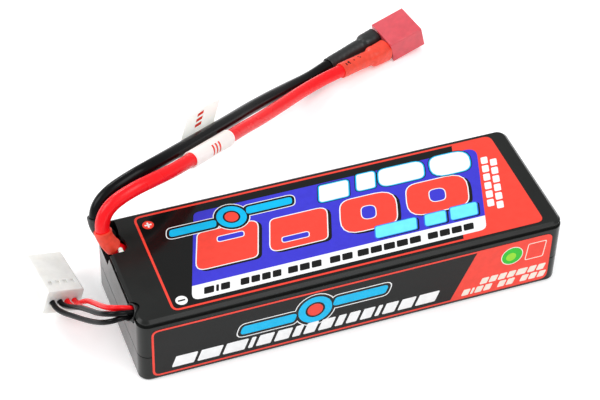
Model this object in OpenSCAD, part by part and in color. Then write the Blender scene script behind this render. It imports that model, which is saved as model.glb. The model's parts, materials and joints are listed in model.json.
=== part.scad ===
// Two-cell lithium battery pack in a hard plastic case, with a pair of main
// leads ending in a flat two-blade plug, and a four-wire balance lead.
//
// Frame: origin at the centre of the case's underside, +Z up, +X along the
// case away from the end where the leads leave, -Y towards the front label.

/* [Case] */
// Length of the hard case
case_l = 138; // [136:0.5:140]
// Width of the hard case
case_w = 46.5; // [46:0.1:47]
// Height of the hard case
case_h = 25; // [24.5:0.1:25.5]
// Wall thickness of both shells
wall = 1.6; // [1.4:0.1:1.8]
// Radius of the case's upright corners
corner_r = 3.5; // [3:0.1:4.5]
// Height of the joint between the two shells
split_z = 10; // [9.5:0.5:12]
// Height of the chamfer round the top
rim_h = 0.75; // [0.5:0.05:0.8]
// Rounding of the bottom edge
bottom_round = 0.8; // [0.5:0.1:1.2]
// Height of the moulded groove below the top rim
groove_z = 23.4; // [23.2:0.05:23.5]
// Height of the groove's opening
groove_h = 1.4; // [1:0.1:1.4]
// Depth of the groove
groove_d = 0.7; // [0.4:0.05:0.8]

/* [Cells] */
// Length of each pouch cell
cell_l = 88; // [80:1:90]
// Width of each pouch cell
cell_w = 41; // [38:0.5:42]
// Thickness of each pouch cell
cell_t = 8.4; // [8:0.1:8.6]
// Width of a cell's metal tab
tab_w = 8; // [6:0.5:9]
// Distance of each tab from the cell's middle line
tab_y = 11; // [10:0.5:12]

/* [Labels] */
// Thickness of each printed sticker
label_t = 0.1; // [0.08:0.02:0.2]
// Corner radius of the stickers
label_r = 2.5; // [2:0.1:3]

/* [Main leads] */
// Outside diameter of each main lead
lead_d = 4.5; // [4.2:0.1:4.6]
// Outside diameter of the sleeves where the leads leave the case
exit_sleeve_d = 5.5; // [5.2:0.1:5.6]
// Outside diameter of the plug sleeves along the lead
plug_sleeve_d = 5.4; // [5.2:0.1:5.5]
// Outside diameter of the plug sleeves over the solder cups
plug_sleeve_wide_d = 7; // [6.6:0.1:7.2]

/* [Plug] */
// Length of the plug's body
plug_l = 12.8; // [12.5:0.1:14]
// Width of the plug's body
plug_w = 13.8; // [13.6:0.1:15]
// Thickness of the plug's body
plug_t = 8.3; // [8:0.1:8.6]

/* [Balance lead] */
// Outside diameter of each balance wire
wire_d = 1.7; // [1.5:0.1:1.7]
// Outside diameter of the balance lead's sleeve
balance_sleeve_d = 5.4; // [5.3:0.1:5.6]
// Distance between neighbouring wires in the balance plug
pitch = 2.5; // [2.4:0.02:2.54]
// Length of the balance plug's housing
balance_l = 18; // [16:0.5:20]
// Width of the balance plug's housing
balance_w = 12.3; // [12:0.1:12.6]
// Thickness of the balance plug's housing
balance_t = 8.9; // [8.5:0.1:9]

/* [Hidden] */

$fn = 48;
gap = 0.05;                         // assembly clearance between pieces
inner_l = case_l - 2 * wall;
inner_w = case_w - 2 * wall;
inner_r = corner_r - wall;
roof_z = case_h - wall;             // underside of the top shell's roof

// Rim above the groove: its step back from the walls, and its chamfer's width
rim_back = 0.3;
rim_w = 0.95;

// Tongue and rebate of the shells' joint, and the fine line that shows outside
tongue_h = 1.2;
tongue_t = 0.7;
joint_line = 0.3;

// Stack of foam, cells and tape, from the floor up
tape_t = 0.4;
foam_bottom_t = 1.2;
cell_x0 = -26;                      // cells' end nearest the leads
cell_x1 = cell_x0 + cell_l;
lower_z = wall + foam_bottom_t;
upper_z = lower_z + cell_t + tape_t;
stack_z = upper_z + cell_t;
terrace_l = 6;                      // flat sealed edge that the tabs leave
terrace_t = 0.4;
tab_t = 0.2;
lower_mid = lower_z + cell_t / 2;
upper_mid = upper_z + cell_t / 2;

// Upright connection board that the tabs pass through
board_t = 1;
board_x = -45;                      // face towards the leads
board_w = 38;
tail_l = 1.6;                       // tabs' length past the board
joint_d = 4.4;                      // solder on each tab
joint_l = 2.2;
pad_l = 1.2;                        // solder under each balance wire
board_z0 = 3;
board_z1 = 20;

// Openings at the lead end
slot_y0 = 7.8;
slot_y1 = 21.6;
slot_floor_z = 18.1;
slot_x = -case_l / 2;
notch_r = 3.1;

// Plug: it leans on its lower rear edge, held up a little by the stiff leads
plug_tilt = 14;
plug_turn = 9;
plug_z = plug_t / 2 * cos(plug_tilt) + plug_l / 2 * sin(plug_tilt);
plug_at = [64.8, 101.4, plug_z];
blade_y = 3.65;                     // contacts' distance from the middle line
strip_w = 5.4;                      // contacts' spring strip
strip_t = 0.6;
blade_t = 1.6;                      // room for the mating blade beside the strip
rear_t = 1;                         // body's wall behind the contacts
cup_l = 5;                          // solder cups' length behind the body
cup_w = 3.2;
cup_t = 1;

// Balance plug: centre and turns
balance_at = [-84.7, 20.2, 6.12];
balance_turn = [0, 17, 8];
wire_hole_d = 2;
wire_hole_l = 5;

// Routes of the two main leads, from the connection board to the plug
red_route = [
    [-47.3, 11, 15.8], [-51, 11, 15.9], [-56, 11.2, 16.8], [-61.1, 11.6, 19.1],
    [-65.5, 12.1, 22.4], [-68, 13.1, 25.8], [-69, 14.2, 29.3], [-68.4, 15.3, 32.8],
    [-66.2, 16.3, 35.9], [-62.5, 17.3, 38], [-57.1, 18.7, 39.2], [-51, 21.1, 38.8],
    [-44, 24.9, 37.1], [-36, 31, 34], [-24, 41, 28.5], [-12, 52, 22.5],
    [-2, 61, 17.2], [9, 70.5, 12.4], [19, 78.6, 8.8], [29, 84.8, 6.6],
    [38, 88.9, 5.4], [46.4, 92.3, 4.5], [54, 94.9, 4]
];
black_route = [
    [-47.3, 11, 7], [-52, 12.3, 7.5], [-57.4, 15, 10.8], [-61.9, 17, 16],
    [-65.3, 17.9, 20.6], [-68, 18.7, 24.4], [-69.3, 19.7, 27.9], [-68.9, 20.9, 31.3],
    [-66.8, 22.2, 34.1], [-63.1, 23.5, 36.2], [-57.7, 25.1, 37.6], [-51.8, 27.3, 38],
    [-45.4, 30.9, 36.9], [-37.2, 37.2, 33.8], [-25.8, 47, 28.4], [-13.8, 57.7, 22.4],
    [-3.6, 67.2, 17], [6.6, 75.9, 12], [17, 84.1, 7.2], [27, 90.7, 3.9],
    [36, 95.8, 3], [44.6, 99.5, 3.2], [52.8, 102.3, 3.9]
];

// Axis of the balance lead's sleeve, and the four wires' ways out of it
sleeve_route = [
    [-57, -14.6, 17.4], [-60, -14.6, 17.9], [-63.4, -14.8, 19.2],
    [-66.6, -15.1, 21.2], [-69.6, -15.5, 23.4]
];
wire_routes = [
    [[-46.3, -16.5, 12], [-49.5, -16.4, 12.6], [-53, -16.1, 14.6], [-57, -15.6, 16.4],
     [-60, -15.5, 17.1], [-63.9, -15.7, 18.5], [-67.1, -16, 20.5], [-70.2, -16.4, 22.5],
     [-73, -17.2, 23.4], [-75.5, -16.8, 22.8], [-77.6, -14.6, 20.8],
     [-79.3, -11, 18], [-81.1, -6.4, 14.9], [-83.2, -0.8, 11.5], [-85.2, 4.2, 8.7],
     [-86.5, 7.9, 7.4], [-87, 10.8, 7.2], [-87.6, 14.8, 7.2]],
    [[-46.3, -16.5, 15], [-51, -16.2, 16.4], [-57, -15.5, 18.3], [-60, -15.5, 18.8],
     [-62.9, -15.7, 20], [-66.1, -16, 21.9], [-69.1, -16.4, 24],
     [-71.8, -16.9, 25.1], [-74.4, -16.2, 25], [-76.5, -14, 23.5], [-78, -10.6, 21],
     [-79.3, -6, 17.9], [-80.6, -0.8, 14.2], [-82, 3.8, 10.5], [-83.2, 7, 8],
     [-84, 9, 6.9], [-84.6, 11.1, 6.5], [-85.2, 15.1, 6.5]],
    [[-46.3, -16.5, 9], [-49.5, -16.1, 9.8], [-53, -14.8, 12.8], [-56.6, -13.8, 15.9],
     [-60, -13.7, 17.1], [-63.9, -13.9, 18.5], [-67.1, -14.2, 20.5], [-70.2, -14.6, 22.5],
     [-72.9, -15, 23.6], [-75.1, -14.1, 23.3], [-76.8, -11.8, 21.5],
     [-77.9, -8.4, 18.8], [-78.7, -4.2, 15.9], [-79.6, 0.4, 12.6], [-80.7, 4.6, 9.2],
     [-81.8, 8.2, 6.7], [-82.3, 11.5, 5.8], [-82.8, 15.4, 5.8]],
    [[-46.3, -16.5, 18], [-51, -14.8, 18.6], [-57, -13.7, 18.3], [-60, -13.7, 18.8],
     [-62.9, -13.9, 20], [-66.1, -14.2, 21.9], [-69.1, -14.6, 24],
     [-71.7, -14.6, 25], [-73.8, -13.5, 24.7], [-75.3, -11.2, 23.1], [-76.3, -7.8, 20.8],
     [-77.1, -3.6, 17.9], [-77.9, 0.8, 14.7], [-78.6, 4.6, 11], [-79.1, 7.4, 7.8],
     [-79.5, 9.5, 5.9], [-79.9, 11.8, 5], [-80.4, 15.8, 5]]
];

// ---- Curves -------------------------------------------------------------

// One point of a smooth curve through b and c, with neighbours a and d
function spline_point(a, b, c, d, t) =
    b + 0.5 * t * (c - a + t * (2 * a - 5 * b + 4 * c - d
        + t * (3 * (b - c) + d - a)));

// A route's points with their neighbours, smoothed to n steps a stretch
function smooth(route, n) = [
    for (i = [0 : len(route) - 2], k = [0 : n - 1])
        spline_point(route[max(i - 1, 0)], route[i], route[i + 1],
            route[min(i + 2, len(route) - 1)], k / n),
    route[len(route) - 1]
];

function unit(v) = v / norm(v);
function part_of(list, from, to) = [for (i = [from : to]) list[i]];

// Direction of a path at point i
function heading(path, i) =
    unit(path[min(i + 1, len(path) - 1)] - path[max(i - 1, 0)]);

// Ring of points round point i of a path, r from it
function ring(path, i, r, sides, ref) =
    let (t = heading(path, i), u = unit(cross(ref, t)), v = cross(t, u))
    [for (k = [0 : sides - 1])
        path[i] + r * (cos(360 * k / sides) * u + sin(360 * k / sides) * v)];

// Faces that join ring i to ring i + 1, with the rings starting at point base
function skin(rings, sides, base, flip) = [
    for (i = [0 : rings - 2], k = [0 : sides - 1])
        let (a = base + i * sides + k, b = base + i * sides + (k + 1) % sides,
             c = a + sides, d = b + sides)
        each flip ? [[a, b, d], [a, d, c]] : [[a, d, b], [a, c, d]]
];

// Solid round tube along a path
module cord(path, d, sides, ref) {
    n = len(path);
    polyhedron(
        points = [for (i = [0 : n - 1]) each ring(path, i, d / 2, sides, ref)],
        faces = concat(skin(n, sides, 0, false),
            [[for (k = [0 : sides - 1]) k]],
            [[for (k = [sides - 1 : -1 : 0]) (n - 1) * sides + k]]));
}

// Hollow sleeve along a path, with its outside radius given at each point
module sleeve(path, radii, bore_r, sides, ref) {
    n = len(path);
    inner = n * sides;
    last = (n - 1) * sides;
    polyhedron(
        points = concat(
            [for (i = [0 : n - 1]) each ring(path, i, radii[i], sides, ref)],
            [for (i = [0 : n - 1]) each ring(path, i, bore_r, sides, ref)]),
        faces = concat(skin(n, sides, 0, false), skin(n, sides, inner, true),
            [for (k = [0 : sides - 1]) let (m = (k + 1) % sides)
                each [[k, m, inner + m], [k, inner + m, inner + k],
                    [last + k, inner + last + m, last + m],
                    [last + k, inner + last + k, inner + last + m]]]));
}

lead_ref = [0, 1, 0];
wire_ref = [0, 0, 1];
lead_sides = 10;
wire_sides = 8;
lead_steps = 2;
red_path = smooth(red_route, lead_steps);
black_path = smooth(black_route, lead_steps);
lead_bore_r = lead_d / 2 + gap;

// The exit sleeves cover these points of their leads' paths
exit_from = 9;
red_exit_to = 12;
black_exit_to = 13;

// Each plug sleeve covers these points, then runs on to the plug
sleeve_from = 40;
sleeve_to = len(red_path) - 1;

// ---- Shapes that repeat -------------------------------------------------

module rounded_rect(l, w, r) {
    square([l - 2 * r, w], center = true);
    square([l, w - 2 * r], center = true);
    for (sx = [-1, 1], sy = [-1, 1])
        translate([sx * (l / 2 - r), sy * (w / 2 - r)]) circle(r);
}

module rounded_box(l, w, h, r) {
    linear_extrude(h) rounded_rect(l, w, r);
}

// Upright section of the case: rounded bottom edge, joint line, groove and
// chamfered rim
module case_section(half) {
    rim = half - rim_back;
    lip_z = groove_z + groove_h / 2;
    difference() {
        union() {
            translate([-half, bottom_round])
                square([2 * half, lip_z - bottom_round]);
            translate([-half + bottom_round, 0])
                square([2 * (half - bottom_round), 2 * bottom_round]);
            for (s = [-1, 1])
                translate([s * (half - bottom_round), bottom_round])
                    circle(bottom_round);
            polygon([[-rim, lip_z - 0.1], [rim, lip_z - 0.1], [rim, case_h - rim_h],
                [rim - rim_w, case_h], [rim_w - rim, case_h], [-rim, case_h - rim_h]]);
        }
        for (s = [-1, 1]) {
            translate([s * half, groove_z])
                square([2 * groove_d, groove_h], center = true);
            translate([s * half, split_z])
                square([2 * joint_line, joint_line], center = true);
        }
    }
}

// Whole outside form of the case
module case_form() {
    rotate([90, 0, 90])
        linear_extrude(case_l - 2 * corner_r, center = true)
            case_section(case_w / 2);
    rotate([90, 0, 0])
        linear_extrude(case_w - 2 * corner_r, center = true)
            case_section(case_l / 2);
    for (sx = [-1, 1], sy = [-1, 1])
        translate([sx * (case_l / 2 - corner_r), sy * (case_w / 2 - corner_r), 0])
            rotate_extrude()
                intersection() {
                    case_section(corner_r);
                    translate([0, -1]) square([corner_r + 1, case_h + 2]);
                }
}

module cavity() {
    translate([0, 0, wall])
        rounded_box(inner_l, inner_w, case_h - 2 * wall, inner_r);
}

// ---- Case ---------------------------------------------------------------

module case_bottom() {
    color("#2b2c2b") {
        difference() {
            case_form();
            cavity();
            translate([0, 0, split_z])
                rounded_box(case_l + 2, case_w + 2, case_h, corner_r);
        }
        // Tongue that the top shell fits over, rooted in the wall
        difference() {
            translate([0, 0, split_z - tongue_h])
                rounded_box(inner_l + 2 * tongue_t, inner_w + 2 * tongue_t,
                    2 * tongue_h, inner_r + tongue_t);
            cavity();
        }
    }
}

module case_top() {
    color("#2f302e")
        difference() {
            case_form();
            cavity();
            translate([0, 0, split_z - case_h])
                rounded_box(case_l + 2, case_w + 2, case_h, corner_r);
            // Rebate over the bottom shell's tongue
            translate([0, 0, split_z - gap])
                rounded_box(inner_l + 2 * (tongue_t + gap),
                    inner_w + 2 * (tongue_t + gap),
                    tongue_h + 2 * gap, inner_r + tongue_t + gap);
            main_lead_slot();
            balance_notch();
        }
}

// Opening through the end wall and the roof for the two main leads
module main_lead_slot() {
    translate([slot_x - 1, 0, 0])
        rotate([90, 0, 90])
            linear_extrude(wall + 2.5)
                polygon([[slot_y0, case_h + 1], [slot_y0, roof_z],
                    [slot_y0 + 2.7, slot_floor_z], [slot_y1 - 0.6, slot_floor_z],
                    [slot_y1, roof_z], [slot_y1, case_h + 1]]);
    translate([0, 0, roof_z - gap])
        linear_extrude(case_h)
            polygon([[slot_x - 1, slot_y0], [slot_x + 4.8, slot_y0],
                [slot_x + 6.3, slot_y0 + 1.6], [slot_x + 6.3, slot_y0 + 4.4],
                [slot_x + 5.9, slot_y0 + 6], [slot_x + 5.2, slot_y0 + 7.7],
                [slot_x + 5.6, slot_y0 + 9.2], [slot_x + 5.6, slot_y1],
                [slot_x - 1, slot_y1]]);
}

// Round notch along the balance lead's sleeve, through the wall and the roof
module balance_notch() {
    way = sleeve_route[4] - sleeve_route[2];
    translate(sleeve_route[2])
        rotate([0, acos(way[2] / norm(way)), atan2(way[1], way[0])])
            translate([0, 0, 2]) cylinder(h = 12, r = notch_r);
}

// ---- Cells and packing --------------------------------------------------

// Pouch cell with its flat sealed terrace towards the leads
module pouch(z) {
    translate([cell_x0 + cell_l / 2, 0, z])
        rounded_box(cell_l, cell_w, cell_t, 2);
    translate([cell_x0 - terrace_l, -cell_w / 2, z + (cell_t - terrace_t) / 2])
        cube([terrace_l + 1, cell_w, terrace_t]);
}

module cell_lower() { color("#c9ccd0") pouch(lower_z); }
module cell_upper() { color("#c9ccd0") pouch(upper_z); }

module cell_tape() {
    color("#e8e4d8")
        translate([cell_x0 + 4, -cell_w / 2 + 4, lower_z + cell_t])
            cube([cell_l - 8, cell_w - 8, tape_t]);
}

module foam_pad_bottom() {
    color("#3c3c3c")
        translate([cell_x0, -cell_w / 2, wall])
            cube([cell_l, cell_w, foam_bottom_t]);
}

module foam_pad_top() {
    color("#3c3c3c")
        translate([cell_x0, -cell_w / 2, stack_z])
            cube([cell_l, cell_w, roof_z - stack_z]);
}

module foam_end_block() {
    color("#3c3c3c")
        translate([cell_x1, -cell_w / 2, wall])
            cube([inner_l / 2 - cell_x1, cell_w, roof_z - wall]);
}

// ---- Tabs, board and joints ---------------------------------------------

// Flat tab from a cell's terrace through the board
module tab(y, mid) {
    translate([board_x - tail_l, y - tab_w / 2, mid - tab_t / 2])
        cube([cell_x0 - terrace_l - board_x + tail_l, tab_w, tab_t]);
}

module positive_tabs() {
    color("#d4d6d8") {
        tab(-tab_y, lower_mid);
        tab(tab_y, upper_mid);
    }
}

module negative_tabs() {
    color("#b9a98a") {
        tab(tab_y, lower_mid);
        tab(-tab_y, upper_mid);
    }
}

module connection_board() {
    color("#1f6b3a")
        difference() {
            translate([board_x, -board_w / 2, board_z0])
                cube([board_t, board_w, board_z1 - board_z0]);
            for (sy = [-1, 1], mid = [lower_mid, upper_mid])
                translate([board_x - 1, sy * tab_y - tab_w / 2 - gap,
                        mid - tab_t / 2 - gap])
                    cube([board_t + 2, tab_w + 2 * gap, tab_t + 2 * gap]);
        }
}

// Insulating card between the board and the cells' terraces
module board_insulator() {
    card_x = board_x + board_t + 3;
    color("#e9dcb4")
        difference() {
            translate([card_x, -board_w / 2, board_z0])
                cube([0.3, board_w, board_z1 - board_z0]);
            for (sy = [-1, 1], mid = [lower_mid, upper_mid])
                translate([card_x - 1, sy * tab_y - tab_w / 2 - 0.2, mid - 0.3])
                    cube([3, tab_w + 0.4, 0.6]);
        }
}

// Strip on the board that joins the two cells in series
module series_link() {
    link_t = 0.5;
    color("#c8c6bd")
        translate([board_x - link_t, -tab_y - 2, lower_mid + joint_d / 2 + gap])
            cube([link_t, 4, upper_mid - lower_mid - joint_d - 2 * gap]);
}

// Solder on each tab's tail, and on the four small pads of the balance wires
module solder_joints() {
    color("#d9dbdd") {
        difference() {
            for (sy = [-1, 1], mid = [lower_mid, upper_mid])
                translate([board_x - joint_l, sy * tab_y, mid])
                    rotate([0, 90, 0]) cylinder(h = joint_l, d = joint_d);
            for (sy = [-1, 1], mid = [lower_mid, upper_mid])
                translate([board_x - joint_l, sy * tab_y - tab_w / 2 - gap,
                        mid - tab_t / 2 - gap])
                    cube([2 * joint_l, tab_w + 2 * gap, tab_t + 2 * gap]);
        }
        for (route = wire_routes)
            translate([board_x, route[0][1], route[0][2]])
                rotate([0, -90, 0]) cylinder(h = pad_l, d = 2);
    }
}

// Bead of clear glue between the slot's edge and the red sleeve
module glue_bead() {
    color("#e6e4dc")
        translate([slot_x + 4.1, slot_y0, case_h - 0.9]) {
            translate([0, 0.9, 0]) sphere(0.85);
            translate([0, 2, 0]) sphere(0.75);
        }
}

// ---- Labels -------------------------------------------------------------

module side_sticker() {
    rotate([90, 0, 0]) linear_extrude(label_t) rounded_rect(130.6, 19.9, label_r);
}

module top_label() {
    color("#2a2a28")
        translate([2.6, 0, case_h])
            rounded_box(120.8, 42, label_t, label_r);
}

module front_label() {
    color("#2a2a28")
        translate([0, -case_w / 2, 11.35]) side_sticker();
}

module rear_label() {
    color("#2a2a28")
        translate([0, case_w / 2 + label_t, 11.35]) side_sticker();
}

// ---- Main leads ---------------------------------------------------------

module red_main_lead() {
    color("#ff232d") cord(red_path, lead_d, lead_sides, lead_ref);
}

module black_main_lead() {
    color("#1c1c1e") cord(black_path, lead_d, lead_sides, lead_ref);
}

module exit_sleeve(path, exit_to) {
    stretch = part_of(path, exit_from, exit_to);
    sleeve(stretch, [for (p = stretch) exit_sleeve_d / 2], lead_bore_r,
        lead_sides, lead_ref);
}

module red_exit_sleeve() { color("#eb4b32") exit_sleeve(red_path, red_exit_to); }
module black_exit_sleeve() { color("#232323") exit_sleeve(black_path, black_exit_to); }

// Direction of the plug's length, and a point behind its body for side y
plug_along = [cos(plug_turn) * cos(plug_tilt), sin(plug_turn) * cos(plug_tilt), sin(plug_tilt)];
function behind_plug(y, distance) =
    plug_at + [-sin(plug_turn) * y, cos(plug_turn) * y, 0]
        - (plug_l / 2 + distance) * plug_along;

// Shrink sleeve over the lead's end and its solder cup, which shows past it
module plug_sleeve(path, y) {
    on_lead = part_of(path, sleeve_from, sleeve_to);
    n = len(on_lead);
    stretch = concat(on_lead, [behind_plug(y, 1.2)]);
    radii = concat([for (i = [0 : n - 2]) plug_sleeve_d / 2],
        [for (i = [0 : 1]) plug_sleeve_wide_d / 2]);
    sleeve(stretch, radii, lead_bore_r, lead_sides, lead_ref);
}

module red_plug_sleeve() { color("#eb4b32") plug_sleeve(red_path, -blade_y); }
module black_plug_sleeve() { color("#232323") plug_sleeve(black_path, blade_y); }

// Straight frame of the tag: along the leads, across them, and upright
tag_a = red_path[26];
tag_b = red_path[29];
tag_along = unit(tag_b - tag_a);
tag_side = black_path[28] - red_path[28];
tag_across = unit(tag_side - (tag_side * tag_along) * tag_along);
tag_up = cross(tag_along, tag_across);
tag_at = (tag_a + tag_b) / 2;
tag_l = 24;
flap_l = 21;
flap_shift = 6.5;                   // the flag is wrapped askew
tag_t = 0.3;
tag_bore_r = lead_d / 2 + 0.25;

// White flag: a band round the red lead, and a flap that runs under the
// black lead and stands up behind it
module lead_tag() {
    x = tag_across;
    y = tag_up;
    z = tag_along;
    under = -tag_bore_r - tag_t;
    turn_x = 8.2;
    tip = [9, 8.5];
    color("#f4f2ee")
        multmatrix([[x[0], y[0], z[0], tag_at[0]],
                    [x[1], y[1], z[1], tag_at[1]],
                    [x[2], y[2], z[2], tag_at[2]], [0, 0, 0, 1]])
            difference() {
                union() {
                    linear_extrude(tag_l, center = true) circle(tag_bore_r + tag_t);
                    translate([0, 0, flap_shift])
                        linear_extrude(flap_l, center = true)
                            polygon([[0, under], [turn_x + tag_t, under],
                                [tip[0] + tag_t, tip[1]], tip,
                                [turn_x, under + tag_t], [0, under + tag_t]]);
                }
                linear_extrude(2 * tag_l, center = true) circle(tag_bore_r);
            }
}

// ---- Plug ---------------------------------------------------------------

module at_plug() {
    translate(plug_at) rotate([0, -plug_tilt, plug_turn]) children();
}

module plug_housing() {
    color("#ee5a68")
        at_plug()
            difference() {
                rotate([0, 90, 0])
                    linear_extrude(plug_l, center = true)
                        rounded_rect(plug_t, plug_w, 0.6);
                at_upright() contact_space();
                at_flat() contact_space();
            }
}

// Places of the two contacts, whose strips stand at right angles
module at_upright() {
    translate([0, -blade_y, 0]) rotate([90, 0, 0]) children();
}

module at_flat() {
    translate([0, blade_y, 0]) children();
}

// Space for one contact, open at the front for the mating blade
module contact_space() {
    translate([rear_t, 0, 0])
        cube([plug_l, strip_w + 2 * gap, strip_t + blade_t + 2 * gap], center = true);
    translate([-plug_l / 2, 0, 0])
        cube([6, cup_w + 2 * gap, cup_t + 2 * gap], center = true);
}

// One contact: spring strip on one side of the blade's room, a heel behind
// the blade's tip, and the solder cup behind the body
module contact() {
    heel_x = -plug_l / 2 + rear_t + gap;
    thick = strip_t + blade_t;
    translate([heel_x, -strip_w / 2, -thick / 2])
        cube([plug_l - rear_t - 1.5, strip_w, strip_t]);
    translate([heel_x, -strip_w / 2, -thick / 2])
        cube([1.2, strip_w, thick]);
    translate([-plug_l / 2 - cup_l, -cup_w / 2, -cup_t / 2])
        cube([cup_l + rear_t + 1, cup_w, cup_t]);
}

module plug_contact_upright() {
    color("#d9a441") at_plug() at_upright() contact();
}

module plug_contact_flat() {
    color("#d9a441") at_plug() at_flat() contact();
}

// ---- Balance lead -------------------------------------------------------

module balance_sleeve() {
    path = smooth(sleeve_route, 2);
    color("#202022")
        sleeve(path, [for (p = path) balance_sleeve_d / 2],
            balance_sleeve_d / 2 - 0.4, 12, wire_ref);
}

module balance_wire(i) {
    cord(smooth(wire_routes[i], 2), wire_d, wire_sides, wire_ref);
}

module balance_wire_1() { color("#1c1c1e") balance_wire(0); }
module balance_wire_2() { color("#1c1c1e") balance_wire(1); }
module balance_wire_3() { color("#e8202a") balance_wire(2); }
module balance_wire_4() { color("#e8202a") balance_wire(3); }

module at_balance() {
    translate(balance_at) rotate(balance_turn) children();
}

// Sideways place of way i in the balance plug
function way_x(i) = (i - 1.5) * pitch;

module balance_housing() {
    color("#efeee6")
        at_balance()
            difference() {
                rotate([90, 0, 0])
                    linear_extrude(balance_l, center = true)
                        rounded_rect(balance_w, balance_t, 0.7);
                for (i = [0 : 3])
                    translate([way_x(i), 0, 0]) {
                        // Wire hole, contact cavity and blade hole
                        translate([0, -balance_l / 2 + wire_hole_l, 0])
                            rotate([90, 0, 0])
                                cylinder(h = wire_hole_l + 1, d = wire_hole_d);
                        translate([-0.85, -balance_l / 2 + wire_hole_l, -0.85])
                            cube([1.7, 8, 1.7]);
                        translate([-0.5, 0, -0.5]) cube([1, balance_l, 1]);
                        // Window over the contact's latch
                        translate([-0.6, -balance_l / 2 + 3.4, balance_t / 2 - 0.5])
                            cube([1.2, 1.6, 1]);
                    }
            }
}

module balance_contacts() {
    color("#cfd1d2")
        at_balance()
            for (i = [0 : 3])
                translate([way_x(i) - 0.8, -balance_l / 2 + wire_hole_l + gap, -0.8])
                    cube([1.6, 7.8, 1.6]);
}

case_bottom();
case_top();
cell_lower();
cell_upper();
cell_tape();
foam_pad_bottom();
foam_pad_top();
foam_end_block();
positive_tabs();
negative_tabs();
connection_board();
board_insulator();
series_link();
solder_joints();
glue_bead();
top_label();
front_label();
rear_label();
red_main_lead();
black_main_lead();
red_exit_sleeve();
black_exit_sleeve();
red_plug_sleeve();
black_plug_sleeve();
plug_housing();
plug_contact_flat();
plug_contact_upright();
lead_tag();
balance_sleeve();
balance_wire_1();
balance_wire_2();
balance_wire_3();
balance_wire_4();
balance_housing();
balance_contacts();
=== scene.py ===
"""Two-cell hard-case battery pack: its look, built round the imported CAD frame.

Lengths are written in millimetres, as in the CAD source, and every object is made in metres.
"""

import json
import math

import bmesh
import bpy
from mathutils import Matrix, Vector
from mathutils.geometry import delaunay_2d_cdt


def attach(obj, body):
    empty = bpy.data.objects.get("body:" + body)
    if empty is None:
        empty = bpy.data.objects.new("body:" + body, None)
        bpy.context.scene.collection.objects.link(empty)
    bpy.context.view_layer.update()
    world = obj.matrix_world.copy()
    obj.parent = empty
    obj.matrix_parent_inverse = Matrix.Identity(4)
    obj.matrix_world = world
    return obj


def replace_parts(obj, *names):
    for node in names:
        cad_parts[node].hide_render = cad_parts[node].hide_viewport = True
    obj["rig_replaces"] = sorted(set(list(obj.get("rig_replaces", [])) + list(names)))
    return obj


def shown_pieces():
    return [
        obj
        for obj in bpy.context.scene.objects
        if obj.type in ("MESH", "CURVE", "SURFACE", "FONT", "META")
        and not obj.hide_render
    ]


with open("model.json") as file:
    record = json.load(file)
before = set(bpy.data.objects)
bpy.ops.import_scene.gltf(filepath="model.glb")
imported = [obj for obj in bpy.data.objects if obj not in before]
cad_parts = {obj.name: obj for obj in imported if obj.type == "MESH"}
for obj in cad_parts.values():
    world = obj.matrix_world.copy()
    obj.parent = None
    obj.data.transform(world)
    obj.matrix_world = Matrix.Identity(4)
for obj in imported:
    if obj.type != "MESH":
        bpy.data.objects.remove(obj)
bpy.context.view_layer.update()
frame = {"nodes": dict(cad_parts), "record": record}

MM = 0.001
BODY = "root"

# Sizes shared with part.scad
CASE_W = 46.5
CASE_H = 25
LEAD_D = 4.5
WIRE_D = 1.7
CLEARANCE = 0.05                    # between a lead and its sleeve
EXIT_SLEEVE_R = 2.75
PLUG_SLEEVE_R = 2.7
PLUG_SLEEVE_WIDE_R = 3.5
BALANCE_SLEEVE_R = 2.7
BALANCE_SLEEVE_WALL = 0.4
LABEL_T = 0.1
TOP_LABEL_SIZE = (120.8, 42)
TOP_LABEL_X = 2.6
SIDE_LABEL_SIZE = (130.6, 19.9)
SIDE_LABEL_Z = 11.35
LABEL_R = 2.5
TAG_L = 24
TAG_T = 0.3
TAG_BORE_R = 2.5
FLAP_SHIFT = 6.5


# ---- Camera ------------------------------------------------------------------------------------

def place_camera(at, azimuth, elevation, roll, lens):
    """Camera at a point, looking down by elevation, turned by azimuth about Z and then by roll."""
    a, e, r = (math.radians(v) for v in (azimuth, elevation, roll))
    right = Vector((math.cos(a), math.sin(a), 0))
    back = Vector((math.sin(a) * math.cos(e), -math.cos(a) * math.cos(e), math.sin(e)))
    up = back.cross(right)
    axes = Matrix((
        math.cos(r) * right + math.sin(r) * up,
        math.cos(r) * up - math.sin(r) * right,
        back,
    )).transposed().to_4x4()
    data = bpy.data.cameras.new("camera")
    data.lens = lens
    data.sensor_width = 36
    data.sensor_fit = "HORIZONTAL"
    camera = bpy.data.objects.new("camera", data)
    axes.translation = Vector(at) * MM
    camera.matrix_world = axes
    bpy.context.scene.collection.objects.link(camera)
    bpy.context.scene.camera = camera


place_camera((-169.40, -405.01, 448.86), azimuth=-21.41, elevation=43.41, roll=1.95, lens=118.27)


# ---- Materials ---------------------------------------------------------------------------------

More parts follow.
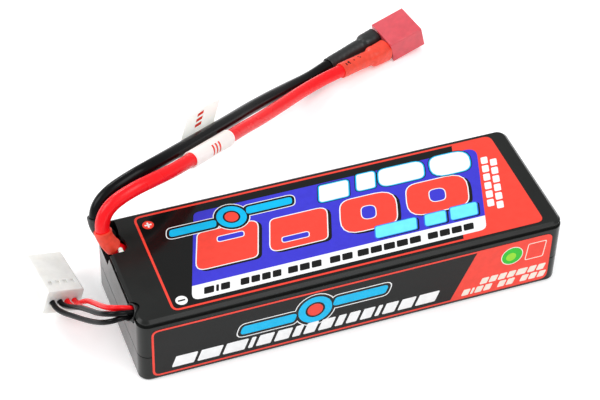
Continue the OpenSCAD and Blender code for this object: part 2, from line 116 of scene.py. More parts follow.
def finish(
    name,
    colour,
    roughness,
    mottle=0.1,
    mottle_size=5,
    uneven=0.25,
    grain=0.006,
    grain_size=0.35,
    stretch=(1, 1, 1),
    weave=None,
    cells=None,
    **shader,
):
    """Procedural material, in row-frame coordinates.

    Colour is mottled by a share, in spots of mottle_size; roughness is uneven by a share; and the
    grain is a relief in spots of grain_size, grain deep. Sizes are in millimetres. weave and cells
    add a relief of woven threads or of foam cells of that size. stretch scales the pattern along
    each axis. The rest goes to the shader's own inputs.
    """
    material = bpy.data.materials.new(name)
    material.use_nodes = True
    nodes = material.node_tree.nodes
    link = material.node_tree.links.new
    principled = nodes["Principled BSDF"]
    mapping = nodes.new("ShaderNodeMapping")
    mapping.inputs["Scale"].default_value = stretch
    link(nodes.new("ShaderNodeTexCoord").outputs["Object"], mapping.inputs["Vector"])

    def noise(size, detail):
        texture = nodes.new("ShaderNodeTexNoise")
        texture.inputs["Scale"].default_value = 1 / (size * MM)
        texture.inputs["Detail"].default_value = detail
        link(mapping.outputs["Vector"], texture.inputs["Vector"])
        return texture.outputs[0]

    def ranged(source, low, high):
        step = nodes.new("ShaderNodeMapRange")
        step.inputs["From Min"].default_value = 0.3
        step.inputs["From Max"].default_value = 0.7
        step.inputs["To Min"].default_value = low
        step.inputs["To Max"].default_value = high
        link(source, step.inputs["Value"])
        return step.outputs["Result"]

    def added(first, second):
        step = nodes.new("ShaderNodeMath")
        step.operation = "ADD"
        link(first, step.inputs[0])
        link(second, step.inputs[1])
        return step.outputs[0]

    ramp = nodes.new("ShaderNodeValToRGB")
    ramp.color_ramp.elements[0].position = 0.35
    ramp.color_ramp.elements[1].position = 0.65
    for element, share in zip(ramp.color_ramp.elements, (1 - mottle, 1 + mottle)):
        element.color = [min(1, c * share) for c in colour] + [1]
    link(noise(mottle_size, 4), ramp.inputs["Fac"])
    link(ramp.outputs["Color"], principled.inputs["Base Color"])

    spread = ranged(noise(2.5 * mottle_size, 3), roughness * (1 - uneven), roughness * (1 + uneven))
    link(spread, principled.inputs["Roughness"])

    relief = ranged(noise(grain_size, 3), 0, 1)
    if weave:
        for direction in ("X", "Y"):
            threads = nodes.new("ShaderNodeTexWave")
            threads.bands_direction = direction
            threads.inputs["Scale"].default_value = 1 / (6.3 * weave * MM)
            link(mapping.outputs["Vector"], threads.inputs["Vector"])
            relief = added(relief, threads.outputs["Fac"])
    if cells:
        foam = nodes.new("ShaderNodeTexVoronoi")
        foam.inputs["Scale"].default_value = 1 / (cells * MM)
        link(mapping.outputs["Vector"], foam.inputs["Vector"])
        relief = added(relief, foam.outputs["Distance"])
    bump = nodes.new("ShaderNodeBump")
    bump.inputs["Distance"].default_value = grain * MM
    link(relief, bump.inputs["Height"])
    link(bump.outputs["Normal"], principled.inputs["Normal"])
    for key, value in shader.items():
        principled.inputs[key.replace("_", " ")].default_value = value
    return material


MATERIALS = {
    "case": finish("case", (0.012, 0.013, 0.012), 0.32, mottle=0.1, mottle_size=9,
                   grain=0.005, grain_size=0.22, Specular_IOR_Level=0.05, Coat_Weight=1.0,
                   Coat_IOR=1.25, Coat_Roughness=0.25),
    "pouch": finish("pouch", (0.62, 0.63, 0.65), 0.32, mottle=0.05, uneven=0.4, grain=0.05,
                    grain_size=3, Metallic=0.9),
    "tape": finish("tape", (0.8, 0.77, 0.68), 0.7, weave=0.4, grain=0.03),
    "foam": finish("foam", (0.05, 0.05, 0.05), 0.9, cells=0.5, grain=0.12),
    "tab_aluminium": finish("tab_aluminium", (0.78, 0.79, 0.8), 0.28, stretch=(0.06, 1, 1),
                            grain=0.01, grain_size=0.15, Metallic=1.0),
    "tab_nickel": finish("tab_nickel", (0.62, 0.59, 0.52), 0.3, stretch=(0.06, 1, 1), grain=0.01,
                         grain_size=0.15, Metallic=1.0),
    "board": finish("board", (0.015, 0.12, 0.045), 0.3, mottle=0.15, mottle_size=2, weave=0.35,
                    grain=0.012, Coat_Weight=0.5),
    "card": finish("card", (0.72, 0.62, 0.38), 0.75, mottle=0.12, mottle_size=0.8, grain=0.02,
                   grain_size=0.2, stretch=(1, 0.25, 1)),
    "solder": finish("solder", (0.66, 0.67, 0.68), 0.25, uneven=0.5, grain=0.05, grain_size=0.8,
                     Metallic=1.0),
    "glue": finish("glue", (0.86, 0.85, 0.8), 0.2, grain=0.04, grain_size=0.8,
                   Subsurface_Weight=0.4, Subsurface_Scale=0.001),
    "red_silicone": finish("red_silicone", (1.0, 0.004, 0.009), 0.27, mottle=0.05, mottle_size=7,
                           grain=0.006, grain_size=0.6, Specular_IOR_Level=0.3),
    "black_silicone": finish("black_silicone", (0.003, 0.003, 0.0034), 0.22, mottle_size=7,
                             grain=0.006, grain_size=0.6, Specular_IOR_Level=0.14),
    "red_shrink": finish("red_shrink", (0.86, 0.055, 0.024), 0.42, mottle=0.07, mottle_size=1.6,
                         grain=0.03, grain_size=0.7),
    "black_shrink": finish("black_shrink", (0.011, 0.012, 0.012), 0.4, mottle=0.2,
                           mottle_size=1.5, grain=0.035, grain_size=0.6),
    "red_nylon": finish("red_nylon", (0.68, 0.075, 0.098), 0.38, mottle=0.07, mottle_size=3,
                        grain=0.012, grain_size=0.3, Subsurface_Weight=0.2,
                        Subsurface_Scale=0.001, Subsurface_Radius=(1, 0.3, 0.3)),
    "gold": finish("gold", (0.83, 0.6, 0.25), 0.25, stretch=(0.1, 1, 1), grain=0.008,
                   grain_size=0.2, Metallic=1.0),
    # The tag's vinyl carries painted light: a faint glow of its own that brightens its shaded flap
    "tag_vinyl": finish("tag_vinyl", (0.97, 0.96, 0.89), 0.3, mottle=0.02, mottle_size=4,
                        grain=0.02, grain_size=2.5, Subsurface_Weight=0.5,
                        Subsurface_Scale=0.002, Emission_Color=(1, 0.98, 0.9, 1),
                        Emission_Strength=0.18, Subsurface_Radius=(1, 1, 0.9)),
    "white_nylon": finish("white_nylon", (0.8, 0.8, 0.77), 0.4, mottle=0.04, mottle_size=3,
                          grain=0.01, grain_size=0.4, Subsurface_Weight=0.6,
                          Subsurface_Scale=0.003, Subsurface_Radius=(1, 0.95, 0.85)),
    "tinned": finish("tinned", (0.66, 0.67, 0.68), 0.28, stretch=(1, 0.1, 1), grain=0.01,
                     grain_size=0.2, Metallic=1.0),
}

# Inks under the stickers' clear gloss film, which is a little wavy
INKS = {
    name: finish(f"ink_{name}", colour, 0.16, mottle=0.04, mottle_size=2.5, uneven=0.3,
                 grain=0.004, grain_size=6, Specular_IOR_Level=0.22)
    for name, colour in {
        "black": (0.006, 0.006, 0.0057),
        "red": (0.88, 0.062, 0.04),
        "blue": (0.045, 0.04, 0.6),
        "bright_blue": (0.02, 0.17, 0.75),
        "cyan": (0.0, 0.48, 0.82),
        "pale_cyan": (0.16, 0.8, 0.93),
        "white": (0.9, 0.9, 0.9),
        "cream": (0.88, 0.8, 0.7),
        "green": (0.03, 0.52, 0.03),
        "lime": (0.3, 0.7, 0.03),
    }.items()
}


# ---- Making objects ----------------------------------------------------------------------------

def add_piece(name, data, nodes):
    """Object of the pack that stands for CAD nodes, which it hides."""
    piece = bpy.data.objects.new(name, data)
    bpy.context.scene.collection.objects.link(piece)
    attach(piece, BODY)
    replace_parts(piece, *nodes)
    return piece


def spline_point(a, b, c, d, t):
    return b + 0.5 * t * (c - a + t * (2 * a - 5 * b + 4 * c - d + t * (3 * (b - c) + d - a)))


def along(route, at):
    """Point of the smooth curve through a route's points, with at counted in those points."""
    last = len(route) - 1
    i = min(int(at), last - 1)
    return spline_point(route[max(i - 1, 0)], route[i], route[i + 1], route[min(i + 2, last)],
                        at - i)


def stretch_of(route, first, last, steps):
    return [along(route, first + (last - first) * k / steps) for k in range(steps + 1)]


def points(*rows):
    return [Vector(row) for row in rows]


# ---- Cords -------------------------------------------------------------------------------------

CURVE_STEPS = 8                     # between two points of a route

RED_ROUTE = points(
    (-47.3, 11, 15.8), (-51, 11, 15.9), (-56, 11.2, 16.8), (-61.1, 11.6, 19.1),
    (-65.5, 12.1, 22.4), (-68, 13.1, 25.8), (-69, 14.2, 29.3), (-68.4, 15.3, 32.8),
    (-66.2, 16.3, 35.9), (-62.5, 17.3, 38), (-57.1, 18.7, 39.2), (-51, 21.1, 38.8),
    (-44, 24.9, 37.1), (-36, 31, 34), (-24, 41, 28.5), (-12, 52, 22.5), (-2, 61, 17.2),
    (9, 70.5, 12.4), (19, 78.6, 8.8), (29, 84.8, 6.6), (38, 88.9, 5.4), (46.4, 92.3, 4.5),
    (54, 94.9, 4),
)
BLACK_ROUTE = points(
    (-47.3, 11, 7), (-52, 12.3, 7.5), (-57.4, 15, 10.8), (-61.9, 17, 16), (-65.3, 17.9, 20.6),
    (-68, 18.7, 24.4), (-69.3, 19.7, 27.9), (-68.9, 20.9, 31.3), (-66.8, 22.2, 34.1),
    (-63.1, 23.5, 36.2), (-57.7, 25.1, 37.6), (-51.8, 27.3, 38), (-45.4, 30.9, 36.9),
    (-37.2, 37.2, 33.8), (-25.8, 47, 28.4), (-13.8, 57.7, 22.4), (-3.6, 67.2, 17),
    (6.6, 75.9, 12), (17, 84.1, 7.2), (27, 90.7, 3.9), (36, 95.8, 3), (44.6, 99.5, 3.2),
    (52.8, 102.3, 3.9),
)
WIRE_ROUTES = [
    points(
        (-46.3, -16.5, 12), (-49.5, -16.4, 12.6), (-53, -16.1, 14.6), (-57, -15.6, 16.4),
        (-60, -15.5, 17.1), (-63.9, -15.7, 18.5), (-67.1, -16, 20.5), (-70.2, -16.4, 22.5),
        (-73, -17.2, 23.4), (-75.5, -16.8, 22.8), (-77.6, -14.6, 20.8), (-79.3, -11, 18),
        (-81.1, -6.4, 14.9), (-83.2, -0.8, 11.5), (-85.2, 4.2, 8.7), (-86.5, 7.9, 7.4),
        (-87, 10.8, 7.2), (-87.6, 14.8, 7.2),
    ),
    points(
        (-46.3, -16.5, 15), (-51, -16.2, 16.4), (-57, -15.5, 18.3), (-60, -15.5, 18.8),
        (-62.9, -15.7, 20), (-66.1, -16, 21.9), (-69.1, -16.4, 24), (-71.8, -16.9, 25.1),
        (-74.4, -16.2, 25), (-76.5, -14, 23.5), (-78, -10.6, 21), (-79.3, -6, 17.9),
        (-80.6, -0.8, 14.2), (-82, 3.8, 10.5), (-83.2, 7, 8), (-84, 9, 6.9), (-84.6, 11.1, 6.5),
        (-85.2, 15.1, 6.5),
    ),
    points(
        (-46.3, -16.5, 9), (-49.5, -16.1, 9.8), (-53, -14.8, 12.8), (-56.6, -13.8, 15.9),
        (-60, -13.7, 17.1), (-63.9, -13.9, 18.5), (-67.1, -14.2, 20.5), (-70.2, -14.6, 22.5),
        (-72.9, -15, 23.6), (-75.1, -14.1, 23.3), (-76.8, -11.8, 21.5), (-77.9, -8.4, 18.8),
        (-78.7, -4.2, 15.9), (-79.6, 0.4, 12.6), (-80.7, 4.6, 9.2), (-81.8, 8.2, 6.7),
        (-82.3, 11.5, 5.8), (-82.8, 15.4, 5.8),
    ),
    points(
        (-46.3, -16.5, 18), (-51, -14.8, 18.6), (-57, -13.7, 18.3), (-60, -13.7, 18.8),
        (-62.9, -13.9, 20), (-66.1, -14.2, 21.9), (-69.1, -14.6, 24), (-71.7, -14.6, 25),
        (-73.8, -13.5, 24.7), (-75.3, -11.2, 23.1), (-76.3, -7.8, 20.8), (-77.1, -3.6, 17.9),
        (-77.9, 0.8, 14.7), (-78.6, 4.6, 11), (-79.1, 7.4, 7.8), (-79.5, 9.5, 5.9),
        (-79.9, 11.8, 5), (-80.4, 15.8, 5),
    ),
]


def cord_curve(name, node, route, diameter, slot):
    """Smooth round cord through a route's points."""
    curve = bpy.data.curves.new(name, "CURVE")
    curve.dimensions = "3D"
    curve.bevel_depth = diameter / 2 * MM
    curve.bevel_resolution = 6
    curve.use_fill_caps = True
    path = stretch_of(route, 0, len(route) - 1, CURVE_STEPS * (len(route) - 1))
    spline = curve.splines.new("POLY")
    spline.points.add(len(path) - 1)
    for knot, place in zip(spline.points, path):
        knot.co = (*(place * MM), 1)
    spline.use_smooth = True
    curve.materials.append(MATERIALS[slot])
    return add_piece(name, curve, [node])


red_lead = cord_curve("red_lead", "red_main_lead", RED_ROUTE, LEAD_D, "red_silicone")
black_lead = cord_curve("black_lead", "black_main_lead", BLACK_ROUTE, LEAD_D, "black_silicone")
wires = [
    cord_curve(f"wire_{i + 1}", f"balance_wire_{i + 1}", route, WIRE_D,
               "black_silicone" if i < 2 else "red_silicone")
    for i, route in enumerate(WIRE_ROUTES)
]


# ---- Sleeves -----------------------------------------------------------------------------------

def at_distance(path, distance):
    """Point and heading at a distance along a path of points."""
    left = distance
    for a, b in zip(path, path[1:]):
        length = (b - a).length
        if left <= length or b is path[-1]:
            return a + (b - a) * (left / length), (b - a).normalized()
        left -= length


def length_of(path):
    return sum((b - a).length for a, b in zip(path, path[1:]))


def make_mesh(name, verts, faces, materials, face_material=None, sharp=40):
    """Mesh from points in millimetres, smooth but for edges sharper than sharp degrees."""
    mesh = bpy.data.meshes.new(name)
    mesh.from_pydata([v * MM for v in verts], [], faces)
    for material in materials:
        mesh.materials.append(material)
    if face_material:
        mesh.polygons.foreach_set("material_index", face_material)
    mesh.validate()
    mesh.shade_smooth()
    mesh.set_sharp_from_angle(angle=math.radians(sharp))
    return mesh


def sleeve(name, node, path, profile, slot, reference=(0, 1, 0), sides=32, ripple=0.0, ink=()):
    """Hollow sleeve along a path.

    profile is the closed outline of its wall, as (distance along the path, radius, squareness),
    with squareness 2 for a round section. ripple is the height of its shallow dents. ink is a list
    of (first ring, last ring, first side, last side) patches that take the second material.
    """
    verts = []
    for distance, radius, squareness in profile:
        centre, heading = at_distance(path, distance)
        across = Vector(reference).cross(heading).normalized()
        upward = heading.cross(across)
        for k in range(sides):
            turn = 2 * math.pi * k / sides
            c, s = math.cos(turn), math.sin(turn)
            shape = (abs(c) ** squareness + abs(s) ** squareness) ** (-1 / squareness)
            dent = ripple * math.sin(3 * turn + 1.7 * distance) * math.sin(1.1 * distance + turn)
            verts.append(centre + (radius * shape + dent) * (c * across + s * upward))
    rings = len(profile)
    faces = [
        [i * sides + k, i * sides + (k + 1) % sides,
         (i + 1) % rings * sides + (k + 1) % sides, (i + 1) % rings * sides + k]
        for i in range(rings) for k in range(sides)
    ]
    inked = [
        int(any(a <= i < b and c <= k < d for a, b, c, d in ink))
        for i in range(rings) for k in range(sides)
    ]
    mesh = make_mesh(name, verts, faces, [MATERIALS[slot], INKS["black"]], inked)
    return add_piece(name, mesh, [node])


def wall_profile(outside, bore, rim=0.14, step=0.5):
    """Closed outline of a sleeve's wall, from its outside as (distance, radius, squareness)."""
    def between(at):
        for (a, ra, na), (b, rb, nb) in zip(outside, outside[1:]):
            if at <= b:
                t = (at - a) / (b - a)
                t = t * t * (3 - 2 * t)
                return ra + (rb - ra) * t, na + (nb - na) * t
        return outside[-1][1:]

    start, end = outside[0][0], outside[-1][0]
    count = max(2, round((end - start) / step))
    inner = [start + (end - start) * k / count for k in range(count + 1)]
    outer = [start + rim + (end - start - 2 * rim) * k / count for k in range(count + 1)]
    r0, n0 = between(start)
    r1, n1 = between(end)
    return (
        [(start, r0 - rim, n0), (start + 0.3 * rim, r0 - 0.3 * rim, n0)]
        + [(at, *between(at)) for at in outer]
        + [(end - 0.3 * rim, r1 - 0.3 * rim, n1), (end, r1 - rim, n1)]
        + [(at, bore, 2) for at in reversed(inner)]
    )


LEAD_BORE = LEAD_D / 2 + CLEARANCE
SLEEVE_STEPS = 24


def exit_sleeve(name, node, route, last, slot):
    """Short shrink sleeve where a lead leaves the case, a little flared at its upper rim."""
    path = stretch_of(route, 4.25, last, SLEEVE_STEPS)
    end = length_of(path)
    outside = [(0, EXIT_SLEEVE_R, 2.1), (end - 1.4, EXIT_SLEEVE_R - 0.05, 2.05),
               (end, EXIT_SLEEVE_R + 0.12, 2)]
    return sleeve(name, node, path, wall_profile(outside, LEAD_BORE), slot, ripple=0.04)


def plug_sleeve(name, node, route, tip, wide, slot, ink=()):
    """Shrink sleeve over a lead's end and the plug's solder cup, with its last stretch wide."""
    path = stretch_of(route, 20, 22, 32) + [tip]
    end = length_of(path)
    outside = [(0, PLUG_SLEEVE_R, 2), (end - wide - 0.8, PLUG_SLEEVE_R + 0.05, 2),
               (end - wide + 0.8, PLUG_SLEEVE_WIDE_R - 0.15, 2.8),
               (end - 1.5, PLUG_SLEEVE_WIDE_R - 0.1, 3.2), (end, PLUG_SLEEVE_WIDE_R, 3.2)]
    return sleeve(name, node, path, wall_profile(outside, LEAD_BORE), slot, ripple=0.06, ink=ink)


# Faint dark print along the upper side of the red sleeve: rings and sides that take the ink
SPECK_RINGS = (5, 7, 8, 13, 15, 18, 19, 21)
RED_SPECKS = [(ring, ring + 1, 15 + ring % 2, 16 + ring % 3) for ring in SPECK_RINGS]

# Where the two plug sleeves end, behind the plug's body
RED_TIP = Vector((58.09, 96.64, 3.74))
BLACK_TIP = Vector((56.95, 103.85, 3.74))

red_exit_sleeve = exit_sleeve("red_lead_sleeve", "red_exit_sleeve", RED_ROUTE, 6, "red_shrink")
black_exit_sleeve = exit_sleeve("black_lead_sleeve", "black_exit_sleeve", BLACK_ROUTE, 6.5,
                                "black_shrink")
red_plug_sleeve = plug_sleeve("red_cup_sleeve", "red_plug_sleeve", RED_ROUTE,
                              RED_TIP, 7.5, "red_shrink", RED_SPECKS)
black_plug_sleeve = plug_sleeve("black_cup_sleeve", "black_plug_sleeve", BLACK_ROUTE,
                                BLACK_TIP, 6.3, "black_shrink")

BALANCE_SLEEVE_ROUTE = points(
    (-57, -14.6, 17.4), (-60, -14.6, 17.9), (-63.4, -14.8, 19.2), (-66.6, -15.1, 21.2),
    (-69.6, -15.5, 23.4),
)
balance_path = stretch_of(BALANCE_SLEEVE_ROUTE, 0, 4, 32)
balance_end = length_of(balance_path)
balance_sleeve = sleeve(
    "balance_lead_sleeve", "balance_sleeve", balance_path,
    wall_profile([(0, BALANCE_SLEEVE_R, 2), (balance_end - 1.5, BALANCE_SLEEVE_R - 0.05, 2),
                  (balance_end, BALANCE_SLEEVE_R, 2)], BALANCE_SLEEVE_R - BALANCE_SLEEVE_WALL),
    "black_shrink", reference=(0, 0, 1), ripple=0.05,
)


# ---- Flag tag ----------------------------------------------------------------------------------

def make_tag():
    """White flag folded round the red lead, run under the black lead and standing up behind it."""
    start, end = along(RED_ROUTE, 13), along(RED_ROUTE, 14.5)
    forward = (end - start).normalized()
    side = along(BLACK_ROUTE, 14) - along(RED_ROUTE, 14)
    across = (side - side.dot(forward) * forward).normalized()
    upward = forward.cross(across)
    middle = (start + end) / 2
    steps = 48
    band_steps = 40
    outer = TAG_BORE_R + TAG_T
    tip = Vector((9.1, 8.5))

    # Flap's middle line, from the band's underside round a soft fold and up to the tip
    fold, fold_r = Vector((8.3, -outer + TAG_T / 2)), 1.6
    rise = (tip - fold).normalized()
    line = [Vector((x, fold.y)) for x in (1.2, 2.4, 3.6, 4.8, 5.9, fold.x - fold_r)]
    for k in range(1, 7):
        t = k / 7
        line.append((1 - t) ** 2 * Vector((fold.x - fold_r, fold.y)) + 2 * t * (1 - t) * fold
                    + t * t * (fold + rise * fold_r))
    reach = (tip - fold).length
    line += [fold + rise * (fold_r + (reach - fold_r) * k / 24) for k in range(25)]

    def offset(shift):
        found = []
        for i, p in enumerate(line):
            heading = (line[min(i + 1, len(line) - 1)] - line[max(i - 1, 0)]).normalized()
            found.append(p + shift * Vector((-heading.y, heading.x)))
        return found

    lower, upper = offset(-TAG_T / 2), offset(TAG_T / 2)
    first = math.atan2(upper[0].y, upper[0].x)
    band = [
        outer * Vector((math.cos(first + turn), math.sin(first + turn)))
        for turn in ((2 * math.pi - first - math.pi / 2) * k / band_steps
                     for k in range(1, band_steps + 1))
    ]
    # Outline: along the flap's upper side from its tip, round the band, and back underneath
    outline = list(reversed(upper)) + band + lower
    hole = [TAG_BORE_R * Vector((math.cos(2 * math.pi * k / band_steps),
                                 math.sin(2 * math.pi * k / band_steps)))
            for k in range(band_steps)]

    def placed(p, z):
        # The flag is wrapped askew, and the flap's free end waves a little
        off = max(0, min(1, (p.x - outer) / (fold.x - outer)))
        free = max(0, p.y) / tip.y * off
        wave = 0.3 * free * math.sin(2 * math.pi * z / TAG_L + 0.6)
        along_lead = z * (1 - 0.12 * off) + FLAP_SHIFT * off
        return middle + (p.x + wave) * across + p.y * upward + along_lead * forward

    bm = bmesh.new()
    stations = [-TAG_L / 2 + TAG_L * k / steps for k in range(steps + 1)]
    loops = [[[bm.verts.new(placed(p, z) * MM) for p in loop] for loop in (outline, hole)]
             for z in stations]
    for k, (near, far) in enumerate(zip(loops, loops[1:])):
        for kind in (0, 1):
            count = len(near[kind])
            for i in range(count):
                j = (i + 1) % count
                face = bm.faces.new((near[kind][i], near[kind][j], far[kind][j], far[kind][i]))
                face.material_index = int(kind == 0 and is_tag_print(i, k, len(upper)))
    for loop_pair in (loops[0], loops[-1]):
        rim = []
        for loop in loop_pair:
            for a, b in zip(loop, loop[1:] + loop[:1]):
                rim.append(bm.edges.get((a, b)))
        bmesh.ops.triangle_fill(bm, use_beauty=True, edges=rim)
    bmesh.ops.recalc_face_normals(bm, faces=bm.faces)
    mesh = bpy.data.meshes.new("flag_tag")
    bm.to_mesh(mesh)
    bm.free()
    # The vinyl glows faintly: painted light that brightens the shaded flap
    mesh.materials.append(MATERIALS["tag_vinyl"])
    mesh.materials.append(INKS["red"])
    mesh.shade_smooth()
    mesh.set_sharp_from_angle(angle=math.radians(35))
    return add_piece("flag_tag", mesh, ["lead_tag"])


def is_tag_print(i, k, flap_points):
    """Plain red bars on the flap's near side and on the band's top, by place in the tag's grid."""
    on_flap = 3 <= i < 18 and (i - 3) % 5 < 3 and 17 <= k < 27
    around = i - flap_points
    on_band = 20 <= around < 29 and 20 <= k < 30 and (k - 20) % 4 < 2
    return on_flap or on_band


tag = make_tag()


# ---- Stickers ----------------------------------------------------------------------------------

ROUND_STEPS = 5
LEAN = 0.35                         # how far the artwork's upright edges lean


def rounded(corners, radius):
    """Polygon with round corners, one radius for all or one for each."""
    radii = radius if isinstance(radius, (list, tuple)) else [radius] * len(corners)
    found = []
    for i, (corner, r) in enumerate(zip(corners, radii)):
        here = Vector(corner)
        before = (Vector(corners[i - 1]) - here).normalized()
        after = (Vector(corners[(i + 1) % len(corners)]) - here).normalized()
        if r <= 0:
            found.append(here)
            continue
        half = before.angle(after) / 2
        reach = r / math.tan(half)
        a, b = here + before * reach, here + after * reach
        for k in range(ROUND_STEPS + 1):
            t = k / ROUND_STEPS
            found.append((1 - t) ** 2 * a + 2 * t * (1 - t) * here + t * t * b)
    return found


def block(x, y, w, h, r, grow=0.0, shift=(0, 0), lean=LEAN):
    """Leaning block centred at x, y, with round corners, grown all round and shifted."""
    half_h = h / 2 + grow
    half_w = w / 2 + grow * math.hypot(1, lean)
    cx, cy = x + shift[0], y + shift[1]
    corners = [(cx + sx * half_w + lean * sy * half_h, cy + sy * half_h)
               for sx, sy in ((-1, -1), (1, -1), (1, 1), (-1, 1))]
    return rounded(corners, min(r + grow, 0.98 * half_h, 0.98 * half_w))


def disc(x, y, r, sides=28):
    return [Vector((x + r * math.cos(2 * math.pi * k / sides),
                    y + r * math.sin(2 * math.pi * k / sides))) for k in range(sides)]


def sticker(name, node, outline, shapes, thickness, place, slot="label"):
    """Printed sticker: its top skin is cut along every printed edge, and its colours are flat inks.

    shapes are (ink, polygon) in paint order, in the sticker's own millimetres; place turns a point
    of the sticker and a height into the row frame.
    """
    loops = [outline] + [polygon for ink, polygon in shapes]
    verts, faces = [], []
    for loop in loops:
        faces.append(list(range(len(verts), len(verts) + len(loop))))
        verts.extend(Vector(p) for p in loop)
    flat, _, cells, _, _, owners = delaunay_2d_cdt(verts, [], faces, 1, 1e-5)
    inks = ["black"] + [ink for ink, polygon in shapes]
    used = sorted(set(inks))
    bm = bmesh.new()
    top = [bm.verts.new(place(p, thickness) * MM) for p in flat]
    for cell, owner in zip(cells, owners):
        if 0 in owner:
            face = bm.faces.new([top[i] for i in cell])
            face.material_index = used.index(inks[max(owner)])
    bmesh.ops.delete(bm, geom=[v for v in bm.verts if not v.link_faces], context="VERTS")
    rim = [e for e in bm.edges if len(e.link_faces) == 1]
    drop = (place(Vector((0, 0)), 0) - place(Vector((0, 0)), thickness)) * MM
    base = {v: bm.verts.new(v.co + drop) for e in rim for v in e.verts}
    below = []
    for edge in rim:
        a, b = edge.verts
        face = bm.faces.new((a, b, base[b], base[a]))
        face.material_index = used.index("black")
        below.append(bm.edges.get((base[a], base[b])))
    bmesh.ops.edgeloop_fill(bm, edges=below, mat_nr=used.index("black"))
    bmesh.ops.recalc_face_normals(bm, faces=bm.faces)
    mesh = bpy.data.meshes.new(name)
    bm.to_mesh(mesh)
    bm.free()
    for ink in used:
        mesh.materials.append(INKS[ink])
    return add_piece(name, mesh, [node])


def framed(w, h, r, line):
    """Outline of a sticker, and the black field inside its red edge line."""
    def rect(inset):
        x, y = w / 2 - inset, h / 2 - inset
        return rounded([(-x, -y), (x, -y), (x, y), (-x, y)], r - inset)
    return rect(0), [("red", rect(0)), ("black", rect(line))]


def outlined(blocks, fill, edge, edge_w, shade=None, shift=(0.7, -0.7)):
    """Blocks with an edge of another ink round them, over a shade of the same shape."""
    found = []
    if shade:
        found += [(shade, block(*b, grow=edge_w, shift=shift)) for b in blocks]
    found += [(edge, block(*b, grow=edge_w)) for b in blocks]
    return found + [(fill, block(*b)) for b in blocks]


def dashes(start, step, widths, gap, height, ink, lean=LEAN):
    """Row of small leaning blocks where the real sticker has a line of type."""
    found = []
    at = 0.0
    direction = Vector(step).normalized()
    for width in widths:
        if width > 0:
            centre = Vector(start) + direction * (at + width / 2)
            found.append((ink, block(centre.x, centre.y, width, height, 0.45, lean=lean)))
        at += abs(width) + gap
    return found


def emblem(x, y, scale):
    """Plain three-part ornament: a disc between two leaning bars, each with two outlines."""
    bars = [(x - 14 * scale, y - 1.2 * scale, 16 * scale, 3.2 * scale, 1.2 * scale),
            (x + 13 * scale, y + 1.2 * scale, 16 * scale, 3.2 * scale, 1.2 * scale)]
    found = []
    for ink, grow in (("white", 1.15), ("black", 0.85), ("cyan", 0)):
        found += [(ink, block(*bar, grow=grow * scale)) for bar in bars]
        found.append((ink, disc(x - 0.4 * scale, y, (5 + grow) * scale)))
    return found + [("black", disc(x - 0.4 * scale, y, 2.9 * scale)),
                    ("red", disc(x - 0.4 * scale, y, 2.3 * scale))]


def polarity(x, y, r, field, sign, plus):
    """Round polarity mark, plus or minus."""
    arm, half = 0.62 * r, 0.17 * r
    found = [(field, disc(x, y, r)), (sign, block(x, y, 2 * arm, 2 * half, 0.05, lean=0))]
    if plus:
        found.append((sign, block(x, y, 2 * half, 2 * arm, 0.05, lean=0)))
    return found


def top_artwork():
    w, h = TOP_LABEL_SIZE
    line = 0.75
    outline, shapes = framed(w, h, LABEL_R, line)
    inner = h / 2 - line

    def moved(found):
        return [(ink, [Vector((p[0] - TOP_LABEL_X, p[1])) for p in polygon])
                for ink, polygon in found]

    # Red end behind a leaning edge, and a blue panel over a white strip
    panel = rounded([(-51.2, -18.6), (44.4, -18.6), (56.6, 17.1), (-39.2, 17.1)],
                    [2.2, 3.2, 3, 2.4])
    art = [("red", [Vector((49.3, inner)), Vector((35.9, -inner)), Vector((70, -inner)),
                    Vector((70, inner))]),
           ("white", panel), ("blue", clipped(panel, -12.85))]

    # Four large blocks with a slot in each
    large = [(-33.7, 0.4, 19.5, 15.2, 2.4), (-10.7, -0.1, 18.6, 13.4, 2.4),
             (12.5, 0.1, 18.6, 14.4, 5), (35.9, 0.5, 20.6, 13.8, 5)]
    art += outlined(large, "red", "white", 0.35, "black", (0.8, -0.8))
    slots = [(-31.6, 3.6, 8.4, 2, 0.8), (-12.8, -3, 8.6, 2, 0.8), (12.5, 0.1, 4.6, 5.4, 2),
             (35.9, 0.5, 5.2, 5.2, 2)]
    art += outlined(slots, "blue", "white", 0.3)

    # White blocks with a glow, and pale ones below the large blocks
    glowing = [(5.6, 12.5, 9, 6.3, 0.7), (16.8, 13.6, 5.4, 6.3, 0.7), (28.8, 13.2, 14.6, 6.9, 2.4),
               (45.4, 12.7, 13, 8.3, 3.8)]
    for ink, grow in (("black", 1.05), ("cyan", 0.75), ("white", 0.35)):
        art += [(ink, block(*b, grow=grow)) for b in glowing]
    pale = [(18, -9.1, 13.6, 4.8, 0.8), (31.2, -9.1, 7, 4.8, 0.8), (40.9, -8.9, 9, 5.2, 0.8)]
    art += outlined(pale, "pale_cyan", "bright_blue", 0.35, "black", (0.4, -0.4))
    art += emblem(-28.2, 11.7, 0.95)

    strip = [3.2, 0.9, 2.9, -2.1, 2.8, 2.8, 2.8, 2.8, -0.9, 3.2, 3.2, 3.2, -1.5, 3.4, 3.4, -0.4,
             3.7, 3.7, 3.7, 3.7, 3.7, -1.1, 3.4, 3.4, 3.4, 3.4]
    art += dashes((-46.5, -15.85), (1, 0), strip, 0.6, 2.7, "black")
    for x, y in ((56.5, 10.6), (59, 8.9)):
        for i in range(6):
            art.append(("white", block(x - 1.22 * i, y - 3.75 * i, 2.3, 3, 0.5, lean=0.325)))
    art += polarity(-54.1, 16.4, 1.8, "red", "white", True)
    art += polarity(-54, -17.4, 1.85, "white", "black", False)
    return outline, shapes + moved(art)


def clipped(polygon, low):
    """The part of a convex polygon above y = low."""
    found = []
    for a, b in zip(polygon, polygon[1:] + polygon[:1]):
        if a.y >= low:
            found.append(a)
        if (a.y - low) * (b.y - low) < 0:
            found.append(a + (b - a) * ((low - a.y) / (b.y - a.y)))
    return found


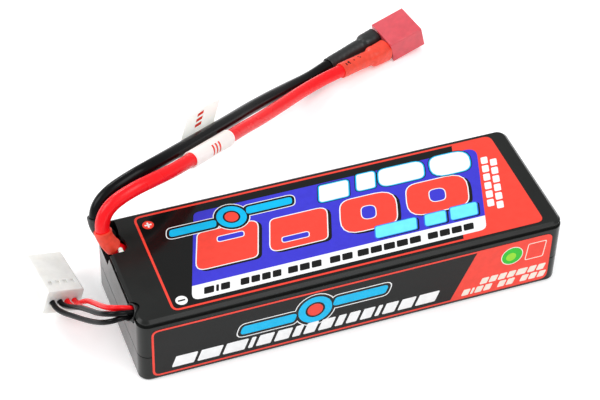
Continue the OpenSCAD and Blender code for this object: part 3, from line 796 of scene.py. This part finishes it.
def side_artwork():
    w, h = SIDE_LABEL_SIZE
    line = 0.7
    outline, shapes = framed(w, h, LABEL_R, line)
    inner = h / 2 - line
    shapes.append(("red", [Vector((39.6, inner)), Vector((32, -inner)), Vector((70, -inner)),
                           Vector((70, inner))]))
    shapes += emblem(-13.1, 2, 1.1)
    row = [7, 7, 7, 1.5, 4.8, 4.8, 2.6, 3.8, 4.4, 2.6, 3.6, 3.8, 1.5, 4.2, 4.8, 6.8]
    shapes += dashes((-58.6, -5.6), (1, 0), row, 1.05, 4.4, "white")
    shapes.append(("cream", disc(51.9, 4.1, 3.75)))
    shapes.append(("green", disc(51.9, 4.1, 3.45)))
    shapes.append(("lime", disc(51.6, 3.7, 1.7)))
    shapes.append(("cream", block(60, 4.1, 6.4, 7, 0.7, lean=0.1)))
    shapes.append(("red", block(60, 4.1, 5.8, 6.4, 0.5, lean=0.1)))
    rows = [(42, -4.1, [2.5, 2.5, 2.5, 2.5, 3.4, 2.5, 2.5]),
            (36, -7.4, [2.4, 0.9, 2.4, 2.4, -1.2, 2.4, 2.4, -1.2, 2.4, 2.4, 2.4])]
    for x, y, widths in rows:
        shapes += dashes((x, y), (1, 0), widths, 0.6, 2.6, "cream")
    return outline, shapes


def on_top(p, height):
    return Vector((p[0] + TOP_LABEL_X, p[1], CASE_H + height))


def on_front(p, height):
    return Vector((p[0], -CASE_W / 2 - height, p[1] + SIDE_LABEL_Z))


def on_rear(p, height):
    return Vector((-p[0], CASE_W / 2 + height, p[1] + SIDE_LABEL_Z))


sticker("top_sticker", "top_label", *top_artwork(), LABEL_T, on_top)
sticker("front_sticker", "front_label", *side_artwork(), LABEL_T, on_front)
sticker("rear_sticker", "rear_label", *side_artwork(), LABEL_T, on_rear)


# ---- CAD nodes that show as they are -------------------------------------------------------------

replaced = {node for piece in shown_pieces() for node in piece.get("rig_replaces", [])}
for part in frame["record"]["subparts"]:
    node = part["node"]
    if node in replaced:
        continue
    shown = frame["nodes"][node]
    material = MATERIALS[part["material_slot"]]
    if not shown.material_slots:
        shown.data.materials.append(material)
    for holder in shown.material_slots:
        holder.material = material

# Soft edges on the two moulded plug bodies
for node, edge in (("plug_housing", 0.3), ("balance_housing", 0.25)):
    weld = frame["nodes"][node].modifiers.new("weld", "WELD")
    weld.merge_threshold = 0.001 * MM
    bevel = frame["nodes"][node].modifiers.new("bevel", "BEVEL")
    bevel.width = edge * MM
    bevel.segments = 3
    bevel.limit_method = "ANGLE"
    bevel.angle_limit = math.radians(50)
    bevel.harden_normals = True


# ---- Studio ------------------------------------------------------------------------------------

def make_floor():
    mesh = bpy.data.meshes.new("studio_floor")
    size, z = 4, -0.00004
    mesh.from_pydata([(-size, -size, z), (size, -size, z), (size, size, z), (-size, size, z)], [],
                     [(0, 1, 2, 3)])
    mesh.materials.append(finish("studio_floor", (0.96, 0.96, 0.96), 0.6, mottle=0.004,
                                 mottle_size=40, grain=0.0, Specular_IOR_Level=0.2,
                                 Emission_Color=(1, 1, 1, 1), Emission_Strength=0.26))
    floor = bpy.data.objects.new("studio_floor", mesh)
    bpy.context.scene.collection.objects.link(floor)


def softbox(name, at, size, power, aim=(0, 0.02, 0.01)):
    data = bpy.data.lights.new(name, "AREA")
    data.shape = "RECTANGLE"
    data.size, data.size_y = size
    data.energy = power
    light = bpy.data.objects.new(name, data)
    light.location = at
    light.rotation_euler = (Vector(at) - Vector(aim)).to_track_quat("Z", "Y").to_euler()
    bpy.context.scene.collection.objects.link(light)


make_floor()
softbox("key", (0.35, -0.45, 1.25), (0.8, 0.8), 7)
softbox("left", (-1.0, 0.3, 0.75), (0.7, 0.7), 6)
softbox("front", (0.2, -1.1, 0.9), (0.9, 0.5), 1.2)
softbox("strip", (-0.27, 1.1, 0.65), (0.5, 0.1), 3)

world = bpy.data.worlds.new("studio")
world.use_nodes = True
background = world.node_tree.nodes["Background"]
background.inputs["Color"].default_value = (0.97, 0.985, 1, 1)
background.inputs["Strength"].default_value = 0.6
bpy.context.scene.world = world
bpy.context.scene.view_settings.view_transform = "Standard"
